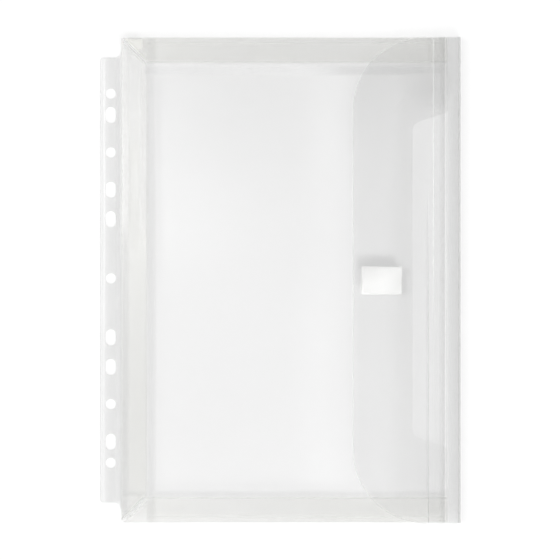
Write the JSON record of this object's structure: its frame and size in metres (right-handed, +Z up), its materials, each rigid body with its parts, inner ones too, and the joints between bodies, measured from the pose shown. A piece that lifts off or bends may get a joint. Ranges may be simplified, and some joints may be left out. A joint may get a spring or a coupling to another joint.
{
  "type": "expanding file wallet",
  "caption": "Clear film document wallet with bellows sides, a punched binding strip for ring binders and a creased flap that closes with a hook-and-loop tab.",
  "frame": {"origin": "Centre of the overall outline, on the underside of the back panel.", "axes": "+Y runs along the binding strip, +X points from the binding strip to the mouth and flap, +Z points up out of the front panel."},
  "size_m": [0.2338, 0.315, 0.0096],
  "materials": {
    "body_film": "clear polypropylene film, faintly embossed",
    "gusset_film": "clear polypropylene film, creased",
    "binding_film": "clear polypropylene strip with a knurled weld",
    "hook_tape": "white hook tape",
    "loop_tape": "white loop tape",
    "adhesive": "milky double-sided adhesive"
  },
  "bodies": {
    "back": {"back_panel": "body_film"},
    "binding": {"binding_strip": "binding_film"},
    "left_back_leg": {"gusset_left_back": "gusset_film"},
    "left_front_leg": {"gusset_left_front": "gusset_film"},
    "front": {"front_panel": "body_film", "loop_adhesive": "adhesive", "loop_tab": "loop_tape"},
    "top_back_leg": {"gusset_top_back": "gusset_film"},
    "top_front_leg": {"gusset_top_front": "gusset_film"},
    "bottom_back_leg": {"gusset_bottom_back": "gusset_film"},
    "bottom_front_leg": {"gusset_bottom_front": "gusset_film"},
    "flap_wall": {"flap_edge": "body_film"},
    "spine": {"flap_spine": "body_film"},
    "crease_strip": {"flap_crease_strip": "body_film"},
    "flap": {"flap_panel": "body_film", "hook_adhesive": "adhesive", "hook_tab": "hook_tape"}
  },
  "joints": [
    {"name": "expand", "type": "hinge", "parent": "back", "child": "left_back_leg", "pos_m": [-0.10255, 0, 0.00045], "axis": [0, -1, 0], "range_deg": [0, 32]},
    {"name": "left_inner_fold", "type": "hinge", "parent": "left_back_leg", "child": "left_front_leg", "pos_m": [-0.08674, 0, 0.003], "axis": [0, -1, 0], "range_deg": [-70, 0]},
    {"name": "front_fold", "type": "hinge", "parent": "left_front_leg", "child": "front", "pos_m": [-0.10255, 0, 0.00554], "axis": [0, -1, 0], "range_deg": [0, 36]},
    {"name": "top_back_fold", "type": "hinge", "parent": "back", "child": "top_back_leg", "pos_m": [0, 0.1569, 0.00045], "axis": [-1, 0, 0], "range_deg": [0, 36]},
    {"name": "top_inner_fold", "type": "hinge", "parent": "top_back_leg", "child": "top_front_leg", "pos_m": [0, 0.14109, 0.003], "axis": [-1, 0, 0], "range_deg": [-70, 0]},
    {"name": "bottom_back_fold", "type": "hinge", "parent": "back", "child": "bottom_back_leg", "pos_m": [0, -0.1569, 0.00045], "axis": [1, 0, 0], "range_deg": [0, 36]},
    {"name": "bottom_inner_fold", "type": "hinge", "parent": "bottom_back_leg", "child": "bottom_front_leg", "pos_m": [0, -0.14109, 0.003], "axis": [1, 0, 0], "range_deg": [-70, 0]},
    {"name": "flap_open", "type": "hinge", "parent": "back", "child": "flap_wall", "pos_m": [0.1167, 0, 0.00015], "axis": [0, 1, 0], "range_deg": [0, 90]},
    {"name": "spine_fold", "type": "hinge", "parent": "flap_wall", "child": "spine", "pos_m": [0.1154, 0, 0.00944], "axis": [0, 1, 0], "range_deg": [0, 88]},
    {"name": "spine_crease", "type": "hinge", "parent": "spine", "child": "crease_strip", "pos_m": [0.09911, 0, 0.00944], "axis": [0, 1, 0], "range_deg": [-88, 0]},
    {"name": "flap_lift", "type": "hinge", "parent": "crease_strip", "child": "flap", "pos_m": [0.09591, 0, 0.00944], "axis": [0, 1, 0], "range_deg": [0, 85]},
    {"name": "strip_flex", "type": "hinge", "parent": "back", "child": "binding", "pos_m": [-0.10345, 0, 0.00015], "axis": [0, 1, 0], "range_deg": [0, 80]}
  ],
  "couplings": [
    {"joint": "left_inner_fold", "follows": "expand", "ratio": -2},
    {"joint": "front_fold", "follows": "expand", "ratio": 1},
    {"joint": "top_back_fold", "follows": "expand", "ratio": 1},
    {"joint": "top_inner_fold", "follows": "expand", "ratio": -2},
    {"joint": "bottom_back_fold", "follows": "expand", "ratio": 1},
    {"joint": "bottom_inner_fold", "follows": "expand", "ratio": -2},
    {"joint": "spine_fold", "follows": "expand", "ratio": 2.6},
    {"joint": "spine_crease", "follows": "expand", "ratio": -2.6}
  ]
}
